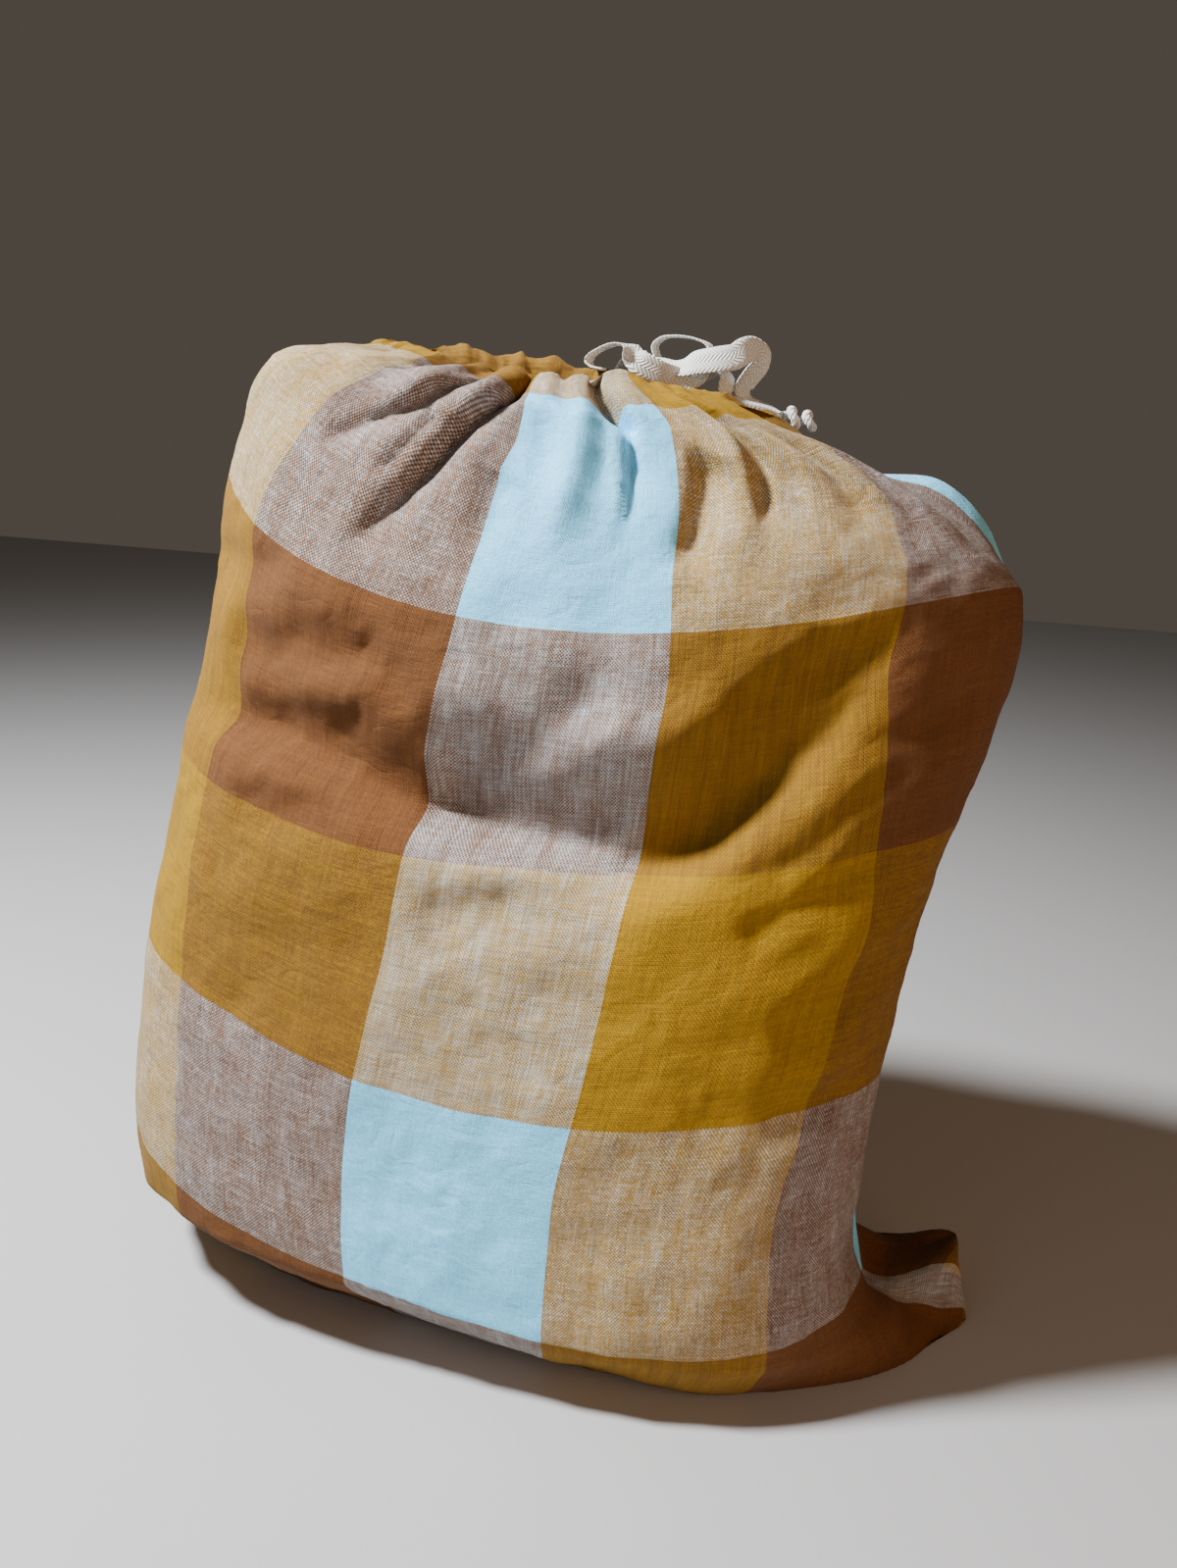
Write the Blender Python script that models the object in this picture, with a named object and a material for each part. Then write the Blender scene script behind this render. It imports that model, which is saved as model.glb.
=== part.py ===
"""A filled linen drawstring bag that stands on its own sagged base and leans back a little.

The cloth is two panels sewn at the sides and along the bottom. Two coordinates follow it, in
millimetres: s runs round the girth from the left side seam, over the front and back over the rear, and
v runs up from the bottom seam to the drawn-in mouth. The filled form is a loft of rings, one for each
row of STATIONS. Folds are troughs and ridges along lines on the cloth. The form is leaned, its base is
pressed flat on the surface, and the loose lower right corner lies out to the side.
"""
from collections import namedtuple
import math

import bmesh
import bpy
import numpy as np

MM = 0.001

# Driving dimensions (mm and degrees)
FRONT_WIDTH = 487.0  # flat width of one panel, side seam to side seam
GIRTH = 2 * FRONT_WIDTH
SEAM_TURN = 24.0  # how far round the side seams sit from the widest points
LEAN_BACK = 9.7
LEAN_RIGHT = 4.2
FLOOR_HEIGHT = 9.0  # the height, in the leaned form, where the base is pressed flat
COLUMNS = 96  # points round each ring
TAPE_THICK = 3.0  # the drawstring's plain round stand-in
TAPE_COLOR = (0.86, 0.83, 0.74, 1.0)
LINEN_COLOR = (0.45, 0.28, 0.10, 1.0)
CENTRE_X = 33.0  # moves the finished bag so that its box is centred on the origin
CENTRE_Y = 29.0

# v: the ring's height up the cloth at the front. height, half_w, half_d, x, y: its place and size.
# shape: 2 is an ellipse, more is boxier. slope: rise per 100 to the right. smile: how much further up
# the cloth its sides are. bow: how far its ends hang.
Station = namedtuple("Station", "v height half_w half_d shape x y slope smile bow")
STATIONS = (
    Station(0, -22, 146, 0.6, 2.4, 26, 0, -2, 0, 0),
    Station(35, -16, 158, 34, 2.5, 18, 0, -3, 4, 0),
    Station(60, 0, 168, 50, 2.7, 12, 0, -4, 10, 0),
    Station(78, 11, 176, 65, 2.9, 8, 0, -4, 14, 0),
    Station(92, 19, 181, 77, 3.0, 5, 0, -3, 18, 0),
    Station(104, 27, 184, 86, 3.0, 3, 0, -1, 20, 0),
    Station(114, 34, 186, 92, 3.0, 1, 0, 0, 21, 0),
    Station(150, 69, 186, 94, 3.0, -3, 0, 1, 25, 0),
    Station(214, 132, 188, 94, 3.0, -6, 0, 2, 30, 0),
    Station(274, 193, 188, 94, 3.0, -6, 0, 3, 37, 0),
    Station(334, 255, 189, 92, 3.0, -1, 0, 4, 43, 0),
    Station(400, 322, 194, 89, 2.8, 6, 0, 5, 50, 0),
    Station(440, 363, 196, 85, 2.9, 8, -1, 3, 53, 0),
    Station(470, 395, 194, 78, 3.0, 6, -6, -2, 54, 0),
    Station(492, 419, 184, 62, 3.0, 2, -18, -6, 48, 0),
    Station(510, 438, 158, 45, 2.7, -3, -34, -7, 36, 3),
    Station(522, 447, 129, 30, 2.4, -8, -46, -6, 24, 5),
    Station(531, 453, 110, 20, 2.2, -11, -53, -6, 14, 6),
    Station(538, 457, 98, 13, 2.1, -12, -57, -6, 8, 6),
    Station(546, 460, 92, 8, 2.1, -12, -59, -6, 4, 6),
    Station(552, 457, 84, 3, 2.1, -12, -59, -6, 0, 6),
    Station(558, 453, 78, 1, 2.1, -12, -59, -6, 0, 6),
)

# How many rings each stretch of v gets.
Stretch = namedtuple("Stretch", "start end rings")
STRETCHES = (
    Stretch(0, 114, 9),
    Stretch(114, 440, 17),
    Stretch(440, 510, 8),
    Stretch(510, 558, 10),
)

# Where the form is uneven: the cloth round (s, v) is pushed to the right, back and up, fading over its
# reach. First the shoulders, the rim of the mouth and the base, then the loose corner.
Push = namedtuple("Push", "s v reach_s reach_v right back up")
SHOULDERS = (
    Push(508, 464, 62, 38, -2, 0, 21),
    Push(482, 498, 60, 30, 0, 0, -4),
    Push(30, 490, 60, 40, 0, 0, 4),
    Push(0, 441, 60, 40, 5, 0, 0),
    Push(45, 92, 60, 60, 5, 0, 4),
    Push(395, 76, 50, 45, 0, 5, 7),
    Push(95, 545, 110, 45, 0, 0, -9),
    Push(205, 545, 95, 70, 0, 0, -9),
    Push(350, 545, 60, 40, 0, 0, -3),
)
CORNER = (
    Push(487, 0, 92, 128, 84, 34, 66),
    Push(512, 42, 38, 52, 14, -2, 30),
    Push(530, 80, 50, 60, 6, 4, 6),
    Push(440, 48, 30, 45, 2, -9, 0),
)
# Where the side seam runs down to the corner (finished frame), and how much of the cloth beside it
# comes along: in plan, in height, and on the rear panel.
SeamPlace = namedtuple("SeamPlace", "v x y z")
CORNER_SEAM = (
    SeamPlace(0, 216, 9, 3),
    SeamPlace(14, 215, 12, 19),
    SeamPlace(34, 207, 9, 27),
    SeamPlace(50, 198, 6, 26),
    SeamPlace(66, 189, 2, 23),
    SeamPlace(84, 177, -4, 22),
    SeamPlace(100, 165, -5, 25),
    SeamPlace(114, 162, -2, 35),
    SeamPlace(130, 159, 3, 49),
    SeamPlace(160, 158, 10, 79),
)
SEAM_REACH = 48.0
SEAM_RIDGE = 20.0
SEAM_BACK = 20.0


# The main folds: a soft line from (s0, v0) to (s1, v1). depth is plus for a trough. above and below
# are how wide its banks are on the left and the right of the way from its start to its end.
Fold = namedtuple("Fold", "s0 v0 s1 v1 depth above below")
FOLDS = (
    Fold(190, 530, 168, 484, 9, 12, 9),  # the deep fold that runs down to the left from the mouth
    Fold(168, 484, 138, 440, 8, 12, 9),
    Fold(178, 512, 128, 440, -4, 9, 12),
    Fold(148, 510, 116, 458, 4, 10, 9),
    Fold(248, 530, 247, 466, 7, 9, 9),  # the pleat under the mouth
    Fold(228, 508, 212, 450, -4, 11, 12),
    Fold(330, 515, 308, 466, 7, 11, 10),  # the long fold right of the mouth
    Fold(314, 500, 298, 452, -3, 10, 12),
    Fold(282, 490, 270, 446, 4, 12, 12),
    Fold(374, 504, 352, 456, 4, 13, 13),
    Fold(436, 496, 425, 440, 3, 14, 14),
    Fold(30, 390, 90, 410, 4, 13, 17),  # slumps across the left of the front
    Fold(50, 358, 110, 372, 5, 14, 18),
    Fold(110, 372, 160, 394, 5, 14, 18),
    Fold(62, 326, 130, 330, 9, 27, 30),
    Fold(130, 330, 200, 338, 9, 27, 30),
    Fold(200, 384, 244, 388, 8, 26, 22),  # across the middle
    Fold(244, 388, 280, 408, 8, 26, 20),
    Fold(186, 356, 262, 346, 6, 20, 27),
    Fold(204, 302, 286, 308, 5, 16, 34),
    Fold(274, 302, 320, 336, 11, 28, 26),  # the slanting slumps on the right
    Fold(320, 336, 346, 356, 9, 26, 24),
    Fold(306, 362, 342, 388, 9, 23, 18),
    Fold(342, 388, 386, 412, 8, 20, 18),
    Fold(322, 316, 392, 362, -5, 18, 20),
    Fold(338, 290, 400, 309, 6, 15, 17),
    Fold(360, 250, 406, 268, 6, 15, 16),
    Fold(364, 212, 412, 217, 4, 14, 16),
    Fold(560, 470, 600, 300, 5, 26, 26),  # the rear, which the filling pushes out unevenly
    Fold(700, 440, 724, 260, 5, 30, 30),
    Fold(850, 440, 820, 280, 5, 28, 28),
    Fold(640, 180, 830, 210, 5, 28, 28),
)

# The gathers that the drawstring pulls in round the mouth.
GATHERS = 17
GATHER_START = 425.0
GATHER_FULL = 520.0
GATHER_DEPTH = 2.2
RIM_START = 524.0  # from here the folds and gathers shrink towards the rim of the mouth
RIM_END = 540.0
RIM_SHARE = 0.5  # what is left of them on the rim
LIP_V = 546.0  # the top of the rim: inside it the cloth is smooth

# The drawstring's two ends, from the mouth to their knot (mm, in the finished frame). The left one
# arches out to the left, lies across the gathers, and makes a standing loop behind the right one.
LEFT_END = (
    (4, -9, 451), (-1, -9, 452), (-3, -8, 454), (-2, -7, 457), (2, -6, 460), (7, -5, 462),
    (12, -5, 462), (15, -6, 461), (17, -7, 457), (20, -8, 454), (25, -7, 452), (30, -5, 450),
    (36, -1, 449), (42, 3, 450), (46, 7, 453), (49, 10, 457), (49, 11, 461), (46, 12, 465),
    (41, 12, 467), (35, 12, 468), (29, 12, 468), (25, 12, 467), (22, 12, 464), (23, 12, 460),
    (26, 12, 456), (30, 13, 452), (36, 13, 450), (42, 12, 450), (46, 11, 451), (50, 10, 454),
    (53, 9, 454), (56, 9, 451), (56, 9, 447), (57, 10, 443), (61, 11, 442), (67, 11, 440),
    (74, 10, 438), (81, 9, 435),
)
RIGHT_END = (
    (8, -2, 453), (10, 1, 455), (14, 3, 457), (20, 4, 458), (26, 3, 456), (32, 2, 454),
    (37, 1, 454), (43, -1, 456), (49, -2, 457), (55, -2, 458), (60, -1, 459), (64, 1, 462),
    (68, 5, 463), (71, 8, 461), (70, 10, 457), (67, 11, 453), (64, 13, 449), (63, 15, 446),
    (65, 16, 443), (70, 16, 441), (75, 15, 439), (81, 13, 436),
)
TAPE_STEP = 4.0  # how far apart the tube's points are
KNOT_CENTRE = (90, 11, 432)
KNOT_SIZE = (16, 10, 10)
KNOT_DIP = 14.0  # the knot's outer end lies this much lower
KNOT_WRAPS = 3  # the tape's turns that show on the knot
KNOT_WRAP_DEPTH = 0.12  # the hollows between them, as a share of the radius


def smooth_rows(table, at):
    """The table's columns read at other values of its first one, smoothly and without overshoot."""
    rows = np.array(table, float)
    knots = rows[:, 0]
    gaps = np.diff(knots)[:, None]
    rises = np.diff(rows, axis=0) / gaps
    slopes = np.zeros_like(rows)
    slopes[0], slopes[-1] = rises[0], rises[-1]
    before, after = rises[:-1], rises[1:]
    same_way = before * after > 0
    safe_before = np.where(same_way, before, 1.0)
    safe_after = np.where(same_way, after, 1.0)
    weight_a = 2 * gaps[1:] + gaps[:-1]
    weight_b = gaps[1:] + 2 * gaps[:-1]
    mean = (weight_a + weight_b) / (weight_a / safe_before + weight_b / safe_after)
    slopes[1:-1] = np.where(same_way, mean, 0.0)
    k = np.clip(np.searchsorted(knots, at, side="right") - 1, 0, len(knots) - 2)
    gap = gaps[k]
    t = ((at - knots[k]) / gap[..., 0])[..., None]
    start = (2 * t**3 - 3 * t**2 + 1) * rows[k] + (t**3 - 2 * t**2 + t) * gap * slopes[k]
    end = (3 * t**2 - 2 * t**3) * rows[k + 1] + (t**3 - t**2) * gap * slopes[k + 1]
    return start + end


def ring_outline(half_w, half_d, shape, shares):
    """Points at the given shares of the way round an outline, from its left end over the front."""
    angle = np.linspace(0, 2 * math.pi, 1441)
    cos, sin = np.cos(angle), np.sin(angle)
    x = -half_w * np.sign(cos) * np.abs(cos) ** (2 / shape)
    y = -half_d * np.sign(sin) * np.abs(sin) ** (2 / shape)
    run = np.concatenate(([0], np.cumsum(np.hypot(np.diff(x), np.diff(y)))))
    return np.interp(shares * run[-1], run, x), np.interp(shares * run[-1], run, y)


def ring_heights():
    values = [float(STRETCHES[0].start)]
    for stretch in STRETCHES:
        values += list(np.linspace(stretch.start, stretch.end, stretch.rings + 1)[1:])
    return np.array(values)


def filled_form(heights):
    """The smooth form as a grid of points, [ring, column], with each point's s and v."""
    around = np.arange(COLUMNS) / COLUMNS
    shares = (around + SEAM_TURN / GIRTH) % 1
    points = np.empty((len(heights), COLUMNS, 3))
    v = np.empty((len(heights), COLUMNS))
    for ring, row in enumerate(smooth_rows(STATIONS, heights)):
        station = Station(*row)
        x, y = ring_outline(station.half_w, station.half_d, station.shape, shares)
        side = x / station.half_w
        points[ring, :, 0] = station.x + x
        points[ring, :, 1] = station.y + y
        points[ring, :, 2] = station.height + station.slope * x / 100 - station.bow * side**2
        v[ring] = station.v - station.smile * side**2
    s = np.tile(around * GIRTH, (len(heights), 1))
    return points, s, v


def outward(points):
    """The direction out of the form at each grid point."""
    around = np.roll(points, -1, axis=1) - np.roll(points, 1, axis=1)
    up = np.gradient(points, axis=0)
    normal = np.cross(around, up)
    return normal / np.maximum(np.linalg.norm(normal, axis=2, keepdims=True), 1e-9)


def hump(distance, reach):
    """1 at no distance, falling smoothly to 0 at the reach."""
    share = np.clip(np.abs(distance) / reach, 0, 1)
    return (1 - share * share) ** 2


def ramp(value, start, end):
    """0 up to the start, 1 from the end, and smooth between."""
    share = np.clip((value - start) / (end - start), 0, 1)
    return share * share * (3 - 2 * share)


def fold_height(s, v):
    """How far the folds stand proud of the smooth form."""
    total = np.zeros_like(s)
    for fold in FOLDS:
        run_s, run_v = fold.s1 - fold.s0, fold.v1 - fold.v0
        length = math.hypot(run_s, run_v)
        near = np.clip(((s - fold.s0) * run_s + (v - fold.v0) * run_v) / length**2, 0, 1)
        off_s, off_v = s - fold.s0 - near * run_s, v - fold.v0 - near * run_v
        side = off_v * run_s - off_s * run_v
        width = np.where(side > 0, fold.above, fold.below)
        total -= fold.depth * hump(np.hypot(off_s, off_v), 2 * width)
    return total


def gather_height(s, v):
    """The pleats that the drawstring draws in, which deepen towards the mouth."""
    turn = 2 * math.pi * s / GIRTH
    wave = np.cos(GATHERS * turn + 1.3 * np.sin(2 * turn) + 0.9 * np.sin(5 * turn + 1))
    return wave * GATHER_DEPTH * ramp(v, GATHER_START, GATHER_FULL)


def relief(s, v):
    """Folds and gathers together, fading out on the rim and inside the mouth."""
    narrow = 1 - (1 - RIM_SHARE) * ramp(v, RIM_START, RIM_END)
    outside = 1 - ramp(v, RIM_END, LIP_V)
    return (fold_height(s, v) + gather_height(s, v)) * narrow * outside


def push_cloth(points, s, v, pushes):
    for push in pushes:
        beside = (s - push.s + GIRTH / 2) % GIRTH - GIRTH / 2
        share = hump(beside, push.reach_s) * hump(v - push.v, push.reach_v) ** 0.75
        for axis, amount in enumerate((push.right, push.back, push.up)):
            points[..., axis] += amount * share


def stand(points):
    """Lean the form, press its base flat, and bring it to the finished frame."""
    back, right = math.radians(LEAN_BACK), math.radians(LEAN_RIGHT)
    x, y, z = points[..., 0], points[..., 1], points[..., 2]
    y_back = y * math.cos(back) + z * math.sin(back)
    z_back = z * math.cos(back) - y * math.sin(back)
    x_right = x * math.cos(right) + z_back * math.sin(right)
    z_right = z_back * math.cos(right) - x * math.sin(right)
    height = np.maximum(z_right - FLOOR_HEIGHT, 0)
    return np.stack((x_right - CENTRE_X, y_back - CENTRE_Y, height), axis=-1)


def lead_seam(points, s, v):
    """Bring the side seam to its own path by the loose corner, with the cloth beside it."""
    seam = COLUMNS // 2
    rows = smooth_rows(CORNER_SEAM, np.clip(v[:, seam], CORNER_SEAM[0].v, CORNER_SEAM[-1].v))
    fade = 1 - ramp(v[:, seam], 120, 160)
    move = ((rows[:, 1:] - points[:, seam]) * fade[:, None])[:, None, :]
    beside = np.abs(s - FRONT_WIDTH)
    behind = s > FRONT_WIDTH
    plan = hump(beside, np.where(behind, SEAM_BACK, SEAM_REACH))
    ridge = hump(beside, np.where(behind, SEAM_BACK, SEAM_RIDGE))
    points[..., :2] += move[..., :2] * plan[..., None]
    points[..., 2] += move[..., 2] * ridge
    points[..., 2] = np.maximum(points[..., 2], 0)


def bag_points():
    """The finished bag's grid of points, in metres."""
    points, s, v = filled_form(ring_heights())
    points += outward(points) * relief(s, v)[..., None]
    push_cloth(points, s, v, SHOULDERS + CORNER)
    points = stand(points)
    lead_seam(points, s, v)
    return points * MM


def plain_material(name, color, roughness):
    material = bpy.data.materials.new(name)
    material.use_nodes = True
    shader = material.node_tree.nodes["Principled BSDF"]
    shader.inputs["Base Color"].default_value = color
    shader.inputs["Roughness"].default_value = roughness
    shader.inputs["Metallic"].default_value = 0.0
    return material


def add_object(name, data, material, collection):
    data.materials.append(material)
    obj = bpy.data.objects.new(name, data)
    collection.objects.link(obj)
    return obj


def make_bag(collection):
    """The filled bag: a closed loft from the bottom seam up to the drawn-in mouth."""
    grid = bag_points()
    rings, columns = grid.shape[:2]
    half = columns // 2
    mesh = bmesh.new()
    seam = [mesh.verts.new(point) for point in grid[0, : half + 1]]
    rows = [seam + seam[half - 1 : 0 : -1]]
    rows += [[mesh.verts.new(point) for point in ring] for ring in grid[1:]]
    for lower, upper in zip(rows, rows[1:]):
        for i in range(columns):
            k = (i + 1) % columns
            mesh.faces.new((lower[i], lower[k], upper[k], upper[i]))
    middle = mesh.verts.new(grid[-1].mean(axis=0))
    for i in range(columns):
        mesh.faces.new((rows[-1][i], rows[-1][(i + 1) % columns], middle))
    bmesh.ops.triangulate(mesh, faces=mesh.faces[:])
    data = bpy.data.meshes.new("bag_body")
    mesh.to_mesh(data)
    mesh.free()
    data.shade_smooth()
    return add_object("bag_body", data, plain_material("linen", LINEN_COLOR, 0.9), collection)


def smooth_route(route, step):
    """Evenly spaced points of one smooth curve through the route's own points."""
    through = np.array(route, float)
    ends = np.concatenate(([2 * through[0] - through[1]], through, [2 * through[-1] - through[-2]]))
    t = np.linspace(0, 1, 20, endpoint=False)[:, None]
    spans = []
    for a, b, c, d in zip(ends, ends[1:], ends[2:], ends[3:]):
        bend = 2 * a - 5 * b + 4 * c - d
        spans.append(b + 0.5 * ((c - a) * t + bend * t**2 + (3 * b - a - 3 * c + d) * t**3))
    fine = np.concatenate(spans + [through[-1:]])
    run = np.concatenate(([0], np.cumsum(np.linalg.norm(np.diff(fine, axis=0), axis=1))))
    even = np.linspace(0, run[-1], round(run[-1] / step) + 1)
    return np.column_stack([np.interp(even, run, fine[:, axis]) for axis in range(3)])


def make_tape(name, route, collection):
    """One end of the drawstring, as a plain round tube along its route."""
    curve = bpy.data.curves.new(name, "CURVE")
    curve.dimensions = "3D"
    curve.bevel_depth = TAPE_THICK / 2 * MM
    curve.bevel_resolution = 2
    curve.use_fill_caps = True
    points = smooth_route(route, TAPE_STEP) * MM
    spline = curve.splines.new("POLY")
    spline.points.add(len(points) - 1)
    for target, point in zip(spline.points, points):
        target.co = (*point, 1)
    return add_object(name, curve, plain_material(name, TAPE_COLOR, 0.9), collection)


def make_knot(collection):
    """The overhand knot that ties the two ends together, with its turns as slanting wraps."""
    mesh = bmesh.new()
    bmesh.ops.create_uvsphere(mesh, u_segments=24, v_segments=14, radius=0.5)
    for vert in mesh.verts:
        turn = math.atan2(vert.co.z, vert.co.y)
        wrap = math.cos(2 * math.pi * KNOT_WRAPS * vert.co.x + turn)
        vert.co *= 1 - KNOT_WRAP_DEPTH * (0.5 - 0.5 * wrap)
        for axis, size in enumerate(KNOT_SIZE):
            vert.co[axis] *= size * MM
    data = bpy.data.meshes.new("drawstring_knot")
    mesh.to_mesh(data)
    mesh.free()
    data.shade_smooth()
    obj = add_object("drawstring_knot", data, plain_material("knot", TAPE_COLOR, 0.9), collection)
    obj.location = [place * MM for place in KNOT_CENTRE]
    obj.rotation_euler = (0, math.radians(KNOT_DIP), 0)


def main():
    for obj in list(bpy.data.objects):
        bpy.data.objects.remove(obj, do_unlink=True)
    collection = bpy.data.collections.new("drawstring_bag")
    bpy.context.scene.collection.children.link(collection)
    make_bag(collection)
    make_tape("drawstring_left", LEFT_END, collection)
    make_tape("drawstring_right", RIGHT_END, collection)
    make_knot(collection)


main()
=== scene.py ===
"""The looks of a filled linen drawstring bag: check linen with its folds, gathers, seams and loose
corner, and the cotton herringbone tape that is drawn through its mouth and knotted.

The cloth is worked out in millimetres in the bag's own upright frame, then leaned and set down. Each
point of it has a place s round the girth, from the left side seam over the front, and a height v up
the cloth. The check has its own u and v, because the cloth lies a little unevenly on the filling.
The camera, the lights, the floor and the depths of reliefs are in metres.
"""
from collections import namedtuple
import math

import bmesh
import bpy
import numpy as np
from mathutils import Matrix, Vector


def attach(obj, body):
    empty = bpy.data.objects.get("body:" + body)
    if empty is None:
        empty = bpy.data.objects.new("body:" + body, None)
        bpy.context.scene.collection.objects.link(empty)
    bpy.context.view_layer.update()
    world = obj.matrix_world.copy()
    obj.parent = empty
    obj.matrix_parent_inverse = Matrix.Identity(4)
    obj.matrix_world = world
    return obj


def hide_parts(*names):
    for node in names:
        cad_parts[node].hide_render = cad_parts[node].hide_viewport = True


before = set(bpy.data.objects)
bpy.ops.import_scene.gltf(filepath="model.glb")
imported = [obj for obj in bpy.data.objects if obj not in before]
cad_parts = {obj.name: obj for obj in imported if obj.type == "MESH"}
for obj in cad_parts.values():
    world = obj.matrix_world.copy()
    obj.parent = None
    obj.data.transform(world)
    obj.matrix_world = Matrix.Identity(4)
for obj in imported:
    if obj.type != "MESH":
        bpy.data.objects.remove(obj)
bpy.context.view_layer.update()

MM = 0.001

# ---------------------------------------------------------------- camera

CAMERA_PLACE = (0.1345, -0.5411, 0.4045)
CAMERA_TURN = 13.33  # degrees: to the left, down, and rolled
CAMERA_DIP = 14.55
CAMERA_ROLL = 3.52
CAMERA_LENS = 27.04
CAMERA_NEAR = 0.02


def add_camera():
    data = bpy.data.cameras.new("camera")
    data.lens = CAMERA_LENS
    data.clip_start = CAMERA_NEAR
    camera = bpy.data.objects.new("camera", data)
    turn = Matrix.Rotation(math.radians(CAMERA_TURN), 4, "Z")
    dip = Matrix.Rotation(math.radians(90 - CAMERA_DIP), 4, "X")
    roll = Matrix.Rotation(math.radians(CAMERA_ROLL), 4, "Z")
    camera.matrix_world = Matrix.Translation(CAMERA_PLACE) @ turn @ dip @ roll
    bpy.context.scene.collection.objects.link(camera)
    bpy.context.scene.camera = camera


# ---------------------------------------------------------------- the bag's form

FRONT_WIDTH = 487.0  # flat width of one panel, side seam to side seam
GIRTH = 2 * FRONT_WIDTH
SEAM_TURN = 24.0  # how far round the side seams sit from the widest points
LEAN_BACK = 9.7
LEAN_RIGHT = 4.2
FLOOR_HEIGHT = 9.0  # the height, in the leaned form, where the base is pressed flat
CENTRE_X = 33.0
CENTRE_Y = 29.0
COLUMNS = 320  # points round each ring
OUTLINE_STEPS = 1440  # how finely a ring's outline is measured

# v: the ring's height up the cloth at the front. height, half_w, half_d, x, y: its place and size.
# shape: 2 is an ellipse, more is boxier. slope: rise per 100 to the right. smile: how much further up
# the cloth its sides are. bow: how far its ends hang.
Station = namedtuple("Station", "v height half_w half_d shape x y slope smile bow")
STATIONS = (
    Station(0, -22, 146, 0.6, 2.4, 26, 0, -2, 0, 0),
    Station(35, -16, 158, 34, 2.5, 18, 0, -3, 4, 0),
    Station(60, 0, 168, 50, 2.7, 12, 0, -4, 10, 0),
    Station(78, 11, 176, 65, 2.9, 8, 0, -4, 14, 0),
    Station(92, 19, 181, 77, 3.0, 5, 0, -3, 18, 0),
    Station(104, 27, 184, 86, 3.0, 3, 0, -1, 20, 0),
    Station(114, 34, 186, 92, 3.0, 1, 0, 0, 21, 0),
    Station(150, 69, 186, 94, 3.0, -3, 0, 1, 25, 0),
    Station(214, 132, 188, 94, 3.0, -6, 0, 2, 30, 0),
    Station(274, 193, 188, 94, 3.0, -6, 0, 3, 37, 0),
    Station(334, 255, 189, 92, 3.0, -1, 0, 4, 43, 0),
    Station(400, 322, 194, 89, 2.8, 6, 0, 5, 50, 0),
    Station(440, 363, 196, 85, 2.9, 8, -1, 3, 53, 0),
    Station(470, 395, 194, 78, 3.0, 6, -6, -2, 54, 0),
    Station(492, 419, 184, 62, 3.0, 2, -18, -6, 48, 0),
    Station(510, 438, 158, 45, 2.7, -3, -34, -7, 36, 3),
    Station(522, 447, 129, 30, 2.4, -8, -46, -6, 24, 5),
    Station(531, 453, 110, 20, 2.2, -11, -53, -6, 14, 6),
    Station(538, 457, 98, 13, 2.1, -12, -57, -6, 8, 6),
    Station(546, 460, 92, 8, 2.1, -12, -59, -6, 4, 6),
    Station(554, 457, 86, 5, 2.1, -12, -59, -6, 0, 6),
    Station(574, 438, 78, 3, 2.1, -12, -56, -6, 0, 6),
)

# How many rings each stretch of v gets.
Stretch = namedtuple("Stretch", "start end rings")
STRETCHES = (
    Stretch(0, 110, 32),
    Stretch(110, 430, 100),
    Stretch(430, 500, 36),
    Stretch(500, 554, 44),
    Stretch(554, 574, 7),
)

# Each push moves the cloth round (s, v) to the right, back and up, and fades out over its reach.
Push = namedtuple("Push", "s v reach_s reach_v right back up")
SHOULDERS = (
    Push(508, 464, 62, 38, -2, 0, 21),
    Push(482, 498, 60, 30, 0, 0, -4),
    Push(30, 490, 60, 40, 0, 0, 4),
    Push(0, 441, 60, 40, 5, 0, 0),
    Push(45, 92, 60, 60, 5, 0, 4),
    Push(395, 76, 50, 45, 0, 5, 7),
    Push(95, 545, 110, 45, 0, 0, -9),
    Push(205, 545, 95, 70, 0, 0, -9),
    Push(350, 545, 60, 40, 0, 0, -3),
)
# The loose lower right corner, drawn out sideways.
CORNER = (
    Push(487, 0, 92, 128, 84, 34, 66),
    Push(512, 42, 38, 52, 14, -2, 30),
    Push(530, 80, 50, 60, 6, 4, 6),
    Push(440, 48, 30, 45, 2, -9, 0),
)
PUSH_FLATNESS = 0.75  # less than 1 keeps a push strong for longer up and down the cloth
# Where the side seam runs down to the corner (finished frame), and how much of the cloth beside it
# comes along: in plan, in height, and on the rear panel.
SeamPlace = namedtuple("SeamPlace", "v x y z")
CORNER_SEAM = (
    SeamPlace(0, 216, 9, 3),
    SeamPlace(14, 215, 12, 19),
    SeamPlace(34, 207, 9, 27),
    SeamPlace(50, 198, 6, 26),
    SeamPlace(66, 189, 2, 23),
    SeamPlace(84, 177, -4, 22),
    SeamPlace(100, 165, -5, 25),
    SeamPlace(114, 162, -2, 35),
    SeamPlace(130, 159, 3, 49),
    SeamPlace(160, 158, 10, 79),
)
SEAM_REACH = 48.0
SEAM_RIDGE = 20.0
SEAM_BACK = 20.0
SEAM_FADE = (120, 160)  # the heights v between which the path lets go of the seam

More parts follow.
